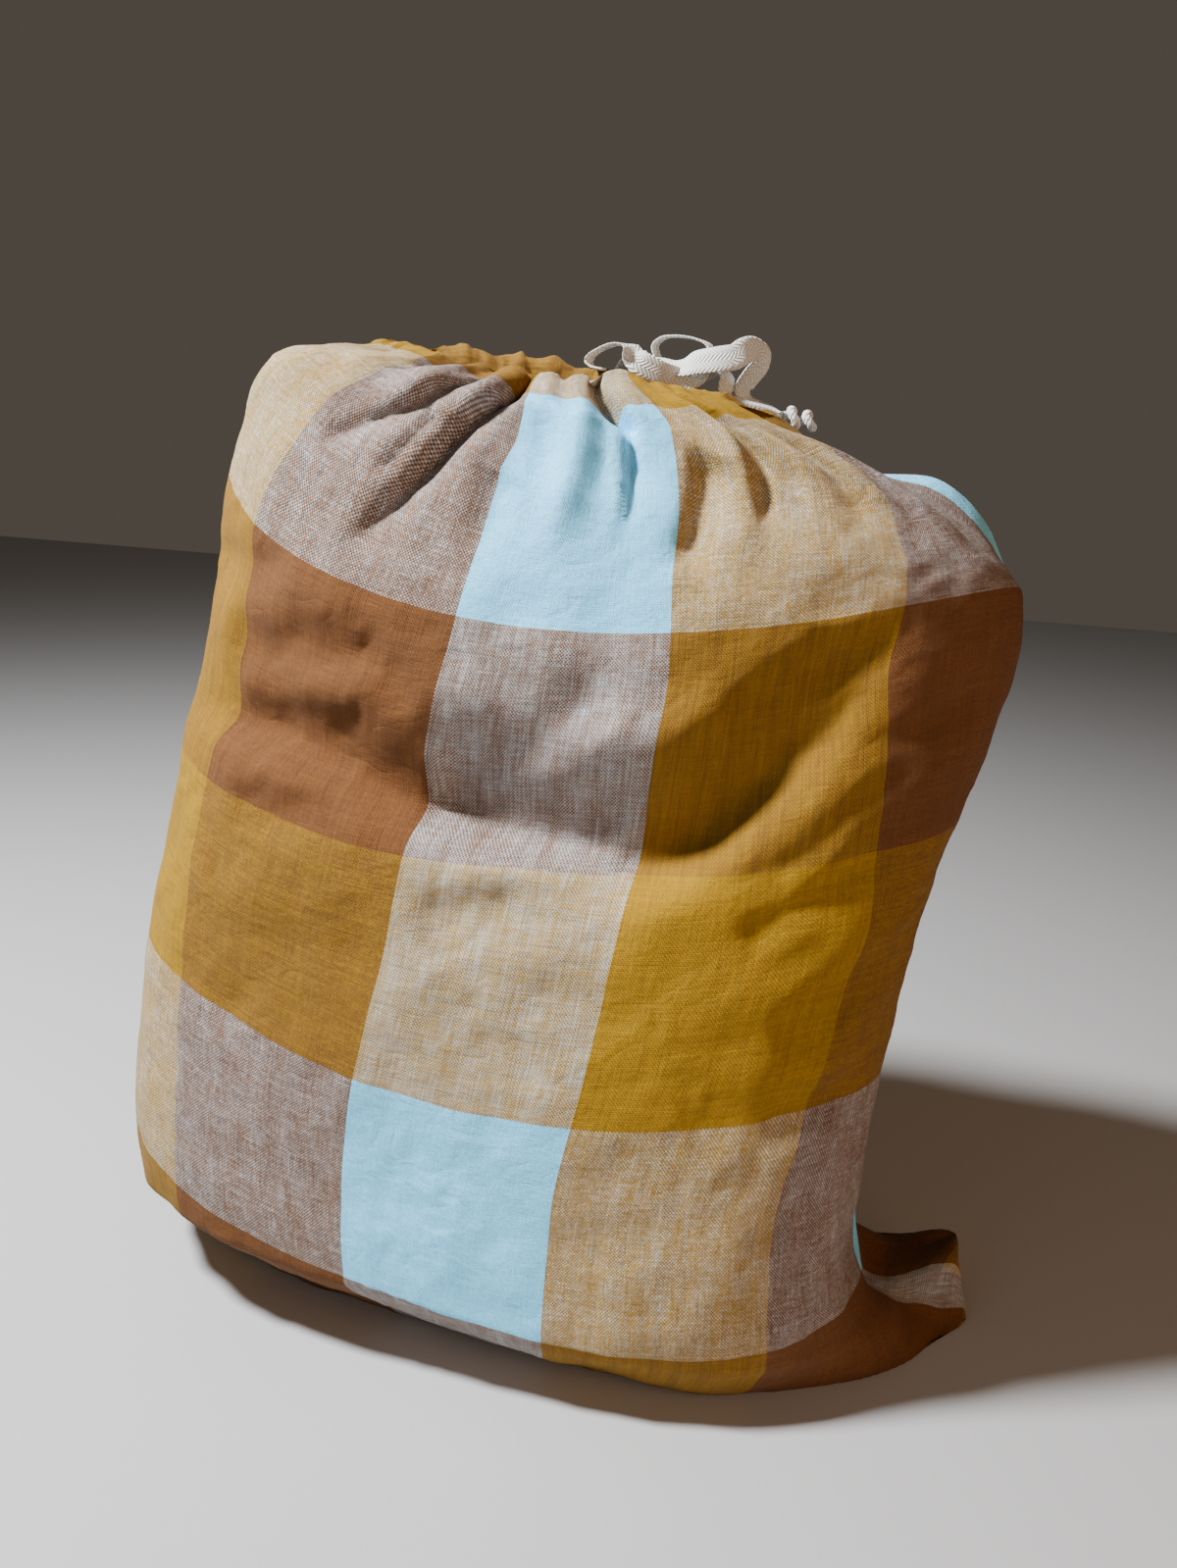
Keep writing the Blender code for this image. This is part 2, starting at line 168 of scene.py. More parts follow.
# Soft troughs and ridges, each along a path of places (s, v). depth is plus for a trough. left and
# right are how wide its banks are on either side of the path. lean pushes the right bank over it.
Fold = namedtuple("Fold", "path depth left right lean")
FOLD_STEPS = 24
FOLD_REACH = 3  # how many of its widths a fold reaches to the side
BANK_REACH = 4  # and how many of its right widths a pushed bank does
FOLD_STARTS = 0.15  # the share of its path over which a fold sets in, and over which it runs out
FOLD_ENDS = 0.35
FOLDS = (
    # the deep fold that runs down to the left from the mouth, its rolled lip and its lesser twin
    Fold(((184, 560), (177, 530), (170, 508), (158, 490), (145, 470), (128, 446), (106, 418)),
         12, 8, 3.5, 4),
    Fold(((166, 534), (161, 510), (150, 492), (136, 472), (118, 448)), -2.5, 4, 9, 0),
    Fold(((152, 534), (141, 508), (132, 492), (121, 482), (108, 472)), 4.5, 7, 3.5, 2),
    Fold(((144, 528), (132, 502), (120, 490), (104, 478)), -2, 4, 8, 0),
    Fold(((146, 492), (139, 480), (130, 465), (122, 455)), 4, 5, 4, 1),
    Fold(((120, 484), (102, 468), (88, 458)), 3.5, 5, 4, 1),
    Fold(((184, 478), (180, 456), (172, 440)), 3, 8, 10, 0),
    # the white block under the mouth
    Fold(((257, 560), (256, 534), (252, 516), (249, 500)), 14, 6, 7, 0),
    Fold(((262, 540), (255, 514), (248, 500), (245, 486), (241, 448)), 5, 4, 2.5, 1),
    Fold(((250, 512), (243, 490), (238, 460)), -4, 4, 6, 0),
    Fold(((238, 530), (226, 502), (217, 476), (208, 444)), -5, 8, 9, 0),
    Fold(((212, 524), (206, 500), (202, 470)), 3, 9, 8, 0),
    # right of the mouth
    Fold(((344, 545), (330, 508), (322, 497), (313, 486), (307, 470), (303, 444)), 6.5, 7, 5, 0.5),
    Fold(((322, 530), (314, 506), (306, 488), (296, 462)), -4, 5, 9, 0),
    Fold(((290, 500), (279, 478), (273, 460), (268, 442)), 8, 12, 7, 0),
    Fold(((346, 520), (340, 500), (324, 476), (312, 448)), 3, 6, 7, 0),
    Fold(((378, 510), (364, 484), (350, 454)), 3, 9, 8, 0),
    Fold(((408, 502), (394, 476), (384, 446)), 3, 9, 9, 0),
    Fold(((438, 500), (428, 470), (424, 436)), 3, 10, 10, 0),
    # slumps, from the left side down: each shades the bank above it
    Fold(((12, 388), (40, 392), (68, 402), (92, 413)), 5, 9, 14, 0),
    Fold(((44, 366), (66, 370), (94, 380), (125, 388), (152, 396)), 7, 13, 12, 0),
    Fold(((128, 400), (148, 384), (166, 374)), 3, 12, 10, 0),
    Fold(((56, 350), (80, 354), (118, 366), (146, 374)), -3, 8, 8, 0),
    Fold(((84, 306), (111, 311), (138, 320), (160, 318)), 4, 8, 15, 0),
    # the long slump that runs across the middle
    Fold(((20, 326), (56, 336), (96, 343), (134, 341), (168, 336), (201, 335), (235, 332), (262, 328),
          (284, 323), (304, 330), (322, 350), (341, 374), (360, 400), (376, 420)), 21, 28, 13, 0),
    Fold(((172, 337), (201, 335), (235, 332), (262, 329), (290, 323)), 9, 26, 12, 0),
    Fold(((176, 352), (194, 361), (222, 373), (244, 392), (262, 402)), 6, 16, 12, 0),
    Fold(((252, 384), (268, 374), (290, 380), (310, 396)), -5, 12, 12, 0),
    Fold(((190, 286), (216, 298), (250, 306), (270, 308), (296, 314)), 5, 10, 20, 0),
    # the slanting slumps on the right
    Fold(((268, 324), (284, 322), (304, 330), (322, 350), (341, 374), (360, 400)), 4, 24, 18, 0),
    Fold(((300, 380), (322, 392), (350, 404), (384, 420)), 3, 14, 12, 0),
    Fold(((356, 364), (384, 365), (404, 371), (430, 372)), 1.5, 7, 12, 0),
    Fold(((314, 309), (344, 319), (368, 332)), 1.5, 5, 8, 0),
    Fold(((330, 344), (350, 357), (378, 368)), 1, 4, 6, 0),
    Fold(((350, 326), (372, 341), (398, 350)), 1.2, 5, 7, 0),
    Fold(((332, 288), (350, 296), (376, 306), (404, 309)), 2.5, 6, 12, 0),
    Fold(((346, 270), (366, 282), (392, 296)), 1, 5, 8, 0),
    Fold(((356, 248), (380, 259), (408, 269)), 2.5, 7, 11, 0),
    Fold(((366, 238), (382, 248), (398, 254)), 1, 5, 6, 0),
    Fold(((360, 211), (386, 217), (416, 216)), 2.5, 7, 12, 0),
    Fold(((362, 193), (380, 200), (404, 203)), -1.5, 8, 8, 0),
    Fold(((378, 170), (392, 176), (420, 180)), 2, 8, 10, 0),
    # the sides and the rear
    Fold(((458, 420), (474, 360), (500, 310)), 5, 18, 18, 0),
    Fold(((455, 260), (480, 230), (520, 210)), 4, 16, 16, 0),
    Fold(((560, 470), (585, 390), (600, 300)), 6, 22, 22, 0),
    Fold(((700, 440), (716, 350), (724, 260)), 6, 26, 26, 0),
    Fold(((850, 440), (830, 360), (820, 280)), 5, 24, 24, 0),
    Fold(((640, 180), (730, 190), (830, 210)), 5, 24, 24, 0),
    Fold(((930, 400), (960, 350), (1000, 330)), 5, 14, 18, 0),
)

# The gathers that the drawstring draws in, which are finest on the neck.
PLEATS = (17, 41)  # how many go round, coarse and fine
PLEAT_DEPTH = (2.4, 0.9)
PLEAT_START = (425, 486)
PLEAT_FULL = (520, 532)
PLEAT_UNEVEN = 0.35  # the share of their depth that comes and goes round the mouth
PLEAT_WANDER = (1.3, 0.9)  # how far they stray, in 2 and in 5 waves round the mouth
PLEAT_SLANT = 0.02  # and for each millimetre above the level
PLEAT_LEVEL = 500

# The small creases of linen: how many waves make each kind, their shortest and longest, and the seed
# of their random draws.
Waves = namedtuple("Waves", "count shortest longest seed")
BROAD_WAVES = Waves(36, 70, 190, 3)
MIDDLE_WAVES = Waves(40, 26, 60, 7)
FINE_WAVES = Waves(50, 16, 34, 11)
PATCH_WAVES = Waves(20, 90, 200, 5)  # where the fine ones show
CREASE_HEIGHTS = (1.5, 0.6, 0.28)  # broad, middle and fine
FINE_EVERYWHERE = 0.3  # how much of the fine ones shows outside the patches
PATCH_EDGE = (-0.6, 0.8)
WAVE_PEAK = 1.6  # how far a sum of waves reaches, against its usual size

# The heights v between which each thing changes: the creases set in above the base, the folds are
# drawn lower where the mouth closes and end inside it, and the rear's stripes bunch up.
BASE_EDGE = (20, 70)
MOUTH_EDGE = (524, 540)
MOUTH_LOSS = 0.45  # the share of the folds' height that the mouth takes away
TUCK_EDGE = (554, 566)
BUNCH_EDGE = (440, 530)

# How the check lies on the filled form: at height v, the place s where each stripe ends.
Lie = namedtuple("Lie", "v s75 s175 s275 s375 s475")
LIE = (
    Lie(0, 75, 175, 275, 375, 475),
    Lie(70, 80, 177, 276, 377, 475),
    Lie(114, 82, 179, 276, 378, 470),
    Lie(164, 80, 176, 276, 374, 462),
    Lie(236, 73, 179, 282, 385, 458),
    Lie(278, 68, 182, 284, 389, 456),
    Lie(326, 63, 178, 281, 379, 454),
    Lie(360, 54, 172, 278, 371, 452),
    Lie(400, 53, 174, 274, 362, 450),
    Lie(450, 74, 179, 266, 366, 462),
    Lie(476, 84, 184, 268, 382, 470),
    Lie(496, 94, 190, 272, 402, 476),
    Lie(514, 88, 191, 283, 414, 480),
    Lie(530, 70, 192, 290, 420, 480),
    Lie(574, 62, 192, 290, 420, 480),
)
STRIPE_ENDS = (75, 175, 275, 375, 475)

# The same for its rows: at height v, how much lower the row lies on the left, middle and right.
Drift = namedtuple("Drift", "v left middle right")
DRIFTS = (
    Drift(0, 0, 0, 0),
    Drift(114, -6, 1, 5),
    Drift(214, -3, 5, 2),
    Drift(314, 10, -3, 0),
    Drift(414, 2, -5, -8),
    Drift(470, -8, -2, -2),
    Drift(514, -20, -5, -2),
    Drift(574, 0, 0, 0),
)
DRIFT_PLACES = (60, 230, 400)  # the left, middle and right places s
DRIFT_FADE = 200  # the rear's drift fades out over this much before the left side seam

# Round the mouth the rear's stripes bunch up: which cloth lies at each place s.
REAR_SPREAD = (487, 660, 870, 974)
REAR_BUNCHED = (487, 791, 880, 974)


def smooth_rows(table, at):
    """The table's columns read at other values of its first one, smoothly and without overshoot."""
    rows = np.array(table, float)
    knots = rows[:, 0]
    gaps = np.diff(knots)[:, None]
    rises = np.diff(rows, axis=0) / gaps
    slopes = np.zeros_like(rows)
    slopes[0], slopes[-1] = rises[0], rises[-1]
    before, after = rises[:-1], rises[1:]
    same_way = before * after > 0
    safe_before = np.where(same_way, before, 1.0)
    safe_after = np.where(same_way, after, 1.0)
    weight_a = 2 * gaps[1:] + gaps[:-1]
    weight_b = gaps[1:] + 2 * gaps[:-1]
    mean = (weight_a + weight_b) / (weight_a / safe_before + weight_b / safe_after)
    slopes[1:-1] = np.where(same_way, mean, 0.0)
    span = np.clip(np.searchsorted(knots, at, side="right") - 1, 0, len(knots) - 2)
    gap = gaps[span]
    t = ((at - knots[span]) / gap[..., 0])[..., None]
    start = (2 * t**3 - 3 * t**2 + 1) * rows[span] + (t**3 - 2 * t**2 + t) * gap * slopes[span]
    end = (3 * t**2 - 2 * t**3) * rows[span + 1] + (t**3 - t**2) * gap * slopes[span + 1]
    return start + end


def ring_outline(half_w, half_d, shape, shares):
    """Points at the given shares of the way round an outline, from its left end over the front."""
    angle = np.linspace(0, 2 * math.pi, OUTLINE_STEPS + 1)
    cos, sin = np.cos(angle), np.sin(angle)
    x = -half_w * np.sign(cos) * np.abs(cos) ** (2 / shape)
    y = -half_d * np.sign(sin) * np.abs(sin) ** (2 / shape)
    run = np.concatenate(([0], np.cumsum(np.hypot(np.diff(x), np.diff(y)))))
    return np.interp(shares * run[-1], run, x), np.interp(shares * run[-1], run, y)


def ring_heights():
    """The height v of every ring."""
    values = [float(STRETCHES[0].start)]
    for stretch in STRETCHES:
        values += list(np.linspace(stretch.start, stretch.end, stretch.rings + 1)[1:])
    return np.array(values)


def filled_form(heights):
    """The smooth form as a grid of points, [ring, column], with each point's s and v."""
    around = np.arange(COLUMNS) / COLUMNS
    shares = (around + SEAM_TURN / GIRTH) % 1
    points = np.empty((len(heights), COLUMNS, 3))
    v = np.empty((len(heights), COLUMNS))
    for ring, row in enumerate(smooth_rows(STATIONS, heights)):
        station = Station(*row)
        x, y = ring_outline(station.half_w, station.half_d, station.shape, shares)
        side = x / station.half_w
        points[ring, :, 0] = station.x + x
        points[ring, :, 1] = station.y + y
        points[ring, :, 2] = station.height + station.slope * x / 100 - station.bow * side**2
        v[ring] = station.v - station.smile * side**2
    s = np.tile(around * GIRTH, (len(heights), 1))
    return points, s, v


def unit(vectors):
    """The vectors at length 1."""
    return vectors / np.maximum(np.linalg.norm(vectors, axis=-1, keepdims=True), 1e-9)


def directions(points):
    """The unit directions round the girth, up the cloth and outward at each grid point."""
    around = unit(np.roll(points, -1, axis=1) - np.roll(points, 1, axis=1))
    up = unit(np.gradient(points, axis=0))
    out = unit(np.cross(around, up))
    return around, np.cross(out, around), out


def hump(distance, reach):
    """1 at no distance, falling smoothly to 0 at the reach."""
    share = np.clip(np.abs(distance) / reach, 0, 1)
    return (1 - share * share) ** 2


def ramp(value, start, end):
    """0 up to the start, 1 from the end, and smooth between."""
    share = np.clip((value - start) / (end - start), 0, 1)
    return share * share * (3 - 2 * share)


def waves(s, v, kind):
    """Smooth noise from many plane waves, about -1 to 1, the same all the way round the girth."""
    rng = np.random.default_rng(kind.seed)
    total = np.zeros_like(s)
    for _ in range(kind.count):
        length = kind.shortest * (kind.longest / kind.shortest) ** rng.random()
        angle = math.pi * rng.random()
        turns = round(GIRTH / length * math.cos(angle))
        rise = math.sin(angle) / length
        total += np.sin(2 * math.pi * (turns * s / GIRTH + rise * v + rng.random()))
    return total / math.sqrt(kind.count / 2) / WAVE_PEAK


def smooth_path(path, count):
    """Points spaced along a smooth curve through a path's own points."""
    through = np.array(path, float)
    share = np.linspace(0, 1, len(through))
    return smooth_rows(np.column_stack((share, through)), np.linspace(0, 1, count))[:, 1:]


def beside_path(at, path):
    """How each place lies by the path: distance, side, share of the path behind it, and direction."""
    nearest = np.full(len(at), np.inf)
    side = np.zeros(len(at))
    share = np.zeros(len(at))
    along = np.zeros((len(at), 2))
    for step, (start, end) in enumerate(zip(path, path[1:])):
        run = end - start
        length = np.hypot(*run)
        t = np.clip((at - start) @ run / length**2, 0, 1)
        off = at - start - t[:, None] * run
        distance = np.hypot(*off.T)
        closer = distance < nearest
        nearest[closer] = distance[closer]
        side[closer] = ((off @ (-run[1], run[0])) / length)[closer]
        share[closer] = ((step + t) / FOLD_STEPS)[closer]
        along[closer] = run / length
    return nearest, side, share, along


def fold_offsets(s, v):
    """How far the folds stand out of the form, and how far they push round and up the cloth."""
    out = np.zeros_like(s)
    push_s = np.zeros_like(s)
    push_v = np.zeros_like(s)
    for fold in FOLDS:
        path = smooth_path(fold.path, FOLD_STEPS + 1)
        middle = path[:, 0].mean()
        round_s = (s - middle + GIRTH / 2) % GIRTH + middle - GIRTH / 2
        reach = FOLD_REACH * max(fold.left, fold.right)
        near = (round_s > path[:, 0].min() - reach) & (round_s < path[:, 0].max() + reach)
        near &= (v > path[:, 1].min() - reach) & (v < path[:, 1].max() + reach)
        distance, side, share, along = beside_path(np.column_stack((round_s[near], v[near])), path)
        ends = ramp(share, 0, FOLD_STARTS) * ramp(1 - share, 0, FOLD_ENDS)
        width = np.where(side > 0, fold.left, fold.right)
        out[near] -= fold.depth * np.exp(-((distance / width) ** 2)) * ends
        bank = fold.lean * np.exp(-(((side + fold.right) / fold.right) ** 2)) * ends
        bank *= distance < BANK_REACH * fold.right
        push_s[near] += bank * -along[:, 1]
        push_v[near] += bank * along[:, 0]
    return out, push_s, push_v


def pleat_height(s, v):
    """How far the gathers round the mouth stand out."""
    turn = 2 * math.pi * s / GIRTH
    slow, quick = PLEAT_WANDER
    total = np.zeros_like(s)
    for count, depth, start, full in zip(PLEATS, PLEAT_DEPTH, PLEAT_START, PLEAT_FULL):
        stray = slow * np.sin(2 * turn + count) + quick * np.sin(5 * turn + 1)
        stray += PLEAT_SLANT * (v - PLEAT_LEVEL)
        size = 1 - PLEAT_UNEVEN + PLEAT_UNEVEN * np.sin(3 * turn + count)
        total += np.cos(count * turn + stray) * size * depth * ramp(v, start, full)
    return total


def crease_height(s, v):
    """Linen's own small creases: soft hollows with sharper lines between them."""
    fine = 1 - 2 * np.abs(waves(s, v, FINE_WAVES))
    patches = ramp(waves(s, v, PATCH_WAVES), *PATCH_EDGE)
    layers = (waves(s, v, BROAD_WAVES), waves(s, v, MIDDLE_WAVES), fine * (FINE_EVERYWHERE + patches))
    return sum(height * layer for height, layer in zip(CREASE_HEIGHTS, layers))


def push_cloth(points, s, v, pushes):
    """Move the cloth by each push in turn."""
    for push in pushes:
        beside = (s - push.s + GIRTH / 2) % GIRTH - GIRTH / 2
        share = hump(beside, push.reach_s) * hump(v - push.v, push.reach_v) ** PUSH_FLATNESS
        for axis, amount in enumerate((push.right, push.back, push.up)):
            points[..., axis] += amount * share


def stand(points):
    """Lean the form, press its base flat, and bring it to the finished frame."""
    back, right = math.radians(LEAN_BACK), math.radians(LEAN_RIGHT)
    x, y, z = points[..., 0], points[..., 1], points[..., 2]
    y_back = y * math.cos(back) + z * math.sin(back)
    z_back = z * math.cos(back) - y * math.sin(back)
    x_right = x * math.cos(right) + z_back * math.sin(right)
    z_right = z_back * math.cos(right) - x * math.sin(right)
    height = np.maximum(z_right - FLOOR_HEIGHT, 0)
    return np.stack((x_right - CENTRE_X, y_back - CENTRE_Y, height), axis=-1)


def lead_seam(points, s, v):
    """Bring the side seam to its own path by the loose corner, with the cloth beside it."""
    seam = COLUMNS // 2
    rows = smooth_rows(CORNER_SEAM, np.clip(v[:, seam], CORNER_SEAM[0].v, CORNER_SEAM[-1].v))
    fade = 1 - ramp(v[:, seam], *SEAM_FADE)
    move = ((rows[:, 1:] - points[:, seam]) * fade[:, None])[:, None, :]
    beside = np.abs(s - FRONT_WIDTH)
    behind = s > FRONT_WIDTH
    plan = hump(beside, np.where(behind, SEAM_BACK, SEAM_REACH))
    ridge = hump(beside, np.where(behind, SEAM_BACK, SEAM_RIDGE))
    points[..., :2] += move[..., :2] * plan[..., None]
    points[..., 2] += move[..., 2] * ridge
    points[..., 2] = np.maximum(points[..., 2], 0)


def stripe_places(s, v):
    """The check's u at each point, from how its stripes lie."""
    lies = smooth_rows(LIE, np.clip(v, LIE[0].v, LIE[-1].v))
    ends_s = [np.zeros_like(s)] + [lies[..., i + 1] for i in range(len(STRIPE_ENDS))]
    ends_s += [np.full_like(s, FRONT_WIDTH), np.full_like(s, GIRTH)]
    ends_u = (0, *STRIPE_ENDS, FRONT_WIDTH, GIRTH)
    u = np.zeros_like(s)
    for start_s, end_s, start_u, end_u in zip(ends_s, ends_s[1:], ends_u, ends_u[1:]):
        share = (s - start_s) / (end_s - start_s)
        u = np.where((share >= 0) & (s < end_s), start_u + share * (end_u - start_u), u)
    bunched = np.interp(s, REAR_SPREAD, REAR_BUNCHED) - s
    return u + np.where(s > FRONT_WIDTH, bunched, 0) * ramp(v, *BUNCH_EDGE)


def row_places(s, v):
    """The check's v at each point, from how its rows drift."""
    drifts = smooth_rows(DRIFTS, np.clip(v, DRIFTS[0].v, DRIFTS[-1].v))
    left, middle, right = DRIFT_PLACES
    at = np.clip(s, left, right)
    left_part = np.clip((middle - at) / (middle - left), 0, 1)
    right_part = np.clip((at - middle) / (right - middle), 0, 1)
    drift = left_part * drifts[..., 1] + right_part * drifts[..., 3]
    drift += (1 - left_part - right_part) * drifts[..., 2]
    return v + drift * ramp(GIRTH - s, 0, DRIFT_FADE)


def bag_grid():
    """The bag's points in metres, and the check's u and v in metres."""
    points, s, v = filled_form(ring_heights())
    around, up, out = directions(points)
    height, push_s, push_v = fold_offsets(s, v)
    height = (height + pleat_height(s, v)) * (1 - MOUTH_LOSS * ramp(v, *MOUTH_EDGE))
    height += crease_height(s, v) * ramp(v, *BASE_EDGE)
    height *= 1 - ramp(v, *TUCK_EDGE)
    points += out * height[..., None] + around * push_s[..., None] + up * push_v[..., None]
    push_cloth(points, s, v, SHOULDERS + CORNER)
    points = stand(points)
    lead_seam(points, s, v)
    return points * MM, stripe_places(s, v) * MM, row_places(s, v) * MM


def bag_mesh():
    """One closed shell: its lowest ring is sewn flat from side to side, and its mouth is drawn shut."""
    points, u, v = bag_grid()
    half = COLUMNS // 2
    mesh = bmesh.new()
    layer = mesh.loops.layers.uv.new("cloth")
    seam = [mesh.verts.new(point) for point in points[0, : half + 1]]
    rows = [seam + seam[half - 1 : 0 : -1]]
    rows += [[mesh.verts.new(point) for point in ring] for ring in points[1:]]
    for ring, (low, high) in enumerate(zip(rows, rows[1:])):
        for column in range(COLUMNS):
            after = (column + 1) % COLUMNS
            face = mesh.faces.new((low[column], low[after], high[after], high[column]))
            turn = GIRTH * MM if after == 0 else 0
            corners = ((ring, column, 0), (ring, after, turn), (ring + 1, after, turn), (ring + 1, column, 0))
            for loop, (at_ring, at_column, extra) in zip(face.loops, corners):
                loop[layer].uv = (u[at_ring, at_column] + extra, v[at_ring, at_column])
    middle = mesh.verts.new(points[-1].mean(axis=0))
    for column in range(COLUMNS):
        mesh.faces.new((rows[-1][column], rows[-1][(column + 1) % COLUMNS], middle))
    for face in mesh.faces:
        face.smooth = True
    return mesh


def add_bag():
    """The filled bag, with its check's coordinates in a UV map."""
    bag = add_mesh("bag_cloth", bag_mesh(), linen_material())
    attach(bag, "root")
    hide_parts("bag_body")


def add_mesh(name, mesh, material):
    """A new object with the mesh and its material."""
    data = bpy.data.meshes.new(name)
    mesh.to_mesh(data)
    mesh.free()
    data.materials.append(material)
    obj = bpy.data.objects.new(name, data)
    bpy.context.scene.collection.objects.link(obj)
    return obj


# ---------------------------------------------------------------- the drawstring

TAPE_WIDTH = 11.0
TAPE_THICK = 0.9
TAPE_STEP = 1.2  # from one point to the next along it
TWISTED_THICK = 2.2  # what a tape gains in thickness where it is twisted up
TWISTED_LOSS = (2, 8)  # how much narrower it is where that sets in and where it is complete
SPAN_STEPS = 20  # how finely each span of a route is measured
# The routes of the two free ends (mm, finished frame), as in the CAD.
LEFT_END = (
    (4, -9, 451), (-1, -9, 452), (-3, -8, 454), (-2, -7, 457), (2, -6, 460), (7, -5, 462),
    (12, -5, 462), (15, -6, 461), (17, -7, 457), (20, -8, 454), (25, -7, 452), (30, -5, 450),
    (36, -1, 449), (42, 3, 450), (46, 7, 453), (49, 10, 457), (49, 11, 461), (46, 12, 465),
    (41, 12, 467), (35, 12, 468), (29, 12, 468), (25, 12, 467), (22, 12, 464), (23, 12, 460),
    (26, 12, 456), (30, 13, 452), (36, 13, 450), (42, 12, 450), (46, 11, 451), (50, 10, 454),
    (53, 9, 454), (56, 9, 451), (56, 9, 447), (57, 10, 443), (61, 11, 442), (67, 11, 440),
    (74, 10, 438), (81, 9, 435),
)
RIGHT_END = (
    (8, -2, 453), (10, 1, 455), (14, 3, 457), (20, 4, 458), (26, 3, 456), (32, 2, 454),
    (37, 1, 454), (43, -1, 456), (49, -2, 457), (55, -2, 458), (60, -1, 459), (64, 1, 462),
    (68, 5, 463), (71, 8, 461), (70, 10, 457), (67, 11, 453), (64, 13, 449), (63, 15, 446),
    (65, 16, 443), (70, 16, 441), (75, 15, 439), (81, 13, 436),
)
# How the tape turns as it goes: at each share of its length, the direction that its width points in,
# and how wide it still is where it has been twisted up towards the knot.
Twist = namedtuple("Twist", "share x y z width")
LEFT_TWISTS = (
    Twist(0.00, 0.1, 1.0, 0.1, 8),
    Twist(0.05, 0.1, 1.0, 0.1, 10),
    Twist(0.14, 0.1, 1.0, 0.05, 11),
    Twist(0.165, 0.3, 0.8, 0.4, 11),
    Twist(0.19, 0.8, 0.1, 0.6, 11),
    Twist(0.24, 0.4, 0.1, 0.9, 11),
    Twist(0.30, 0.3, 0.4, 0.8, 11),
    Twist(0.36, 0.1, 0.8, 0.5, 11),
    Twist(0.42, 0.1, 1.0, 0.2, 11),
    Twist(0.50, 0.0, 1.0, 0.06, 11),
    Twist(0.60, 0.1, 1.0, 0.1, 11),
    Twist(0.68, 0.0, 0.9, 0.4, 11),
    Twist(0.75, 0.4, 0.9, 0.1, 11),
    Twist(0.80, 0.4, 0.9, 0.0, 11),
    Twist(0.85, 0.6, 0.8, 0.1, 10),
    Twist(0.89, 0.3, 0.9, 0.3, 7),
    Twist(0.94, 0.2, 1.0, 0.3, 4.6),
    Twist(1.00, 0.0, 1.0, 0.4, 2.6),
)
RIGHT_TWISTS = (
    Twist(0.00, 0.1, 1.0, 0.1, 9),
    Twist(0.12, 0.0, 1.0, 0.15, 11),
    Twist(0.20, 0.0, 0.85, 0.5, 11),
    Twist(0.28, 0.0, 0.7, 0.7, 11),
    Twist(0.36, -0.1, 0.3, 0.95, 11),
    Twist(0.50, 0.0, 0.1, 1.0, 11),
    Twist(0.56, 0.0, 0.2, 1.0, 11),
    Twist(0.61, 0.3, 0.6, 0.7, 11),
    Twist(0.65, 0.5, 0.8, 0.2, 11),
    Twist(0.72, 0.7, 0.6, -0.3, 10),
    Twist(0.79, 0.75, 0.6, -0.3, 9),
    Twist(0.85, 0.5, 0.8, 0.2, 7),
    Twist(0.92, 0.2, 1.0, 0.4, 4.6),
    Twist(1.00, 0.0, 1.0, 0.6, 2.6),
)


def smooth_route(route, step):
    """Evenly spaced points of one smooth curve through the route's own points."""
    through = np.array(route, float)
    ends = np.concatenate(([2 * through[0] - through[1]], through, [2 * through[-1] - through[-2]]))
    t = np.linspace(0, 1, SPAN_STEPS, endpoint=False)[:, None]
    spans = []
    for before, start, end, after in zip(ends, ends[1:], ends[2:], ends[3:]):
        bend = 2 * before - 5 * start + 4 * end - after
        swing = 3 * start - before - 3 * end + after
        spans.append(start + 0.5 * ((end - before) * t + bend * t**2 + swing * t**3))
    fine = np.concatenate(spans + [through[-1:]])
    run = np.concatenate(([0], np.cumsum(np.linalg.norm(np.diff(fine, axis=0), axis=1))))
    even = np.linspace(0, run[-1], round(run[-1] / step) + 1)
    return np.column_stack([np.interp(even, run, fine[:, axis]) for axis in range(3)])


def swept_mesh(points, across, widths, thicks, profile, places):
    """A closed strip along the points, with its own coordinates in a UV map.

    profile is its outline, in shares of its width and thickness. places says which place across the
    weave each point of the outline has, with the first one again at the end.
    """
    along = unit(np.gradient(points, axis=0))
    across = unit(across - along * np.sum(across * along, axis=1, keepdims=True))
    face = np.cross(along, across)
    run = np.concatenate(([0], np.cumsum(np.linalg.norm(np.diff(points, axis=0), axis=1))))
    mesh = bmesh.new()
    layer = mesh.loops.layers.uv.new("cloth")
    rings = []
    for point, side, up, width, thick in zip(points, across, face, widths, thicks):
        rings.append([mesh.verts.new((point + side * width * x + up * thick * y) * MM) for x, y in profile])
    count = len(profile)
    for ring, (low, high) in enumerate(zip(rings, rings[1:])):
        for i in range(count):
            after = (i + 1) % count
            quad = mesh.faces.new((low[i], high[i], high[after], low[after]))
            quad.smooth = True
            corners = ((ring, i), (ring + 1, i), (ring + 1, i + 1), (ring, i + 1))
            for loop, (at_ring, at_place) in zip(quad.loops, corners):
                loop[layer].uv = (places[at_place] * MM, run[at_ring] * MM)
    mesh.faces.new(rings[0])
    mesh.faces.new(rings[-1][::-1])
    bmesh.ops.recalc_face_normals(mesh, faces=mesh.faces[:])
    return mesh


# The tape's outline: flat faces with softly rounded edges.
TAPE_PROFILE = (
    (-0.5, 0), (-0.46, 0.42), (-0.25, 0.5), (0, 0.5), (0.25, 0.5), (0.46, 0.42),
    (0.5, 0), (0.46, -0.42), (0.25, -0.5), (0, -0.5), (-0.25, -0.5), (-0.46, -0.42),
)


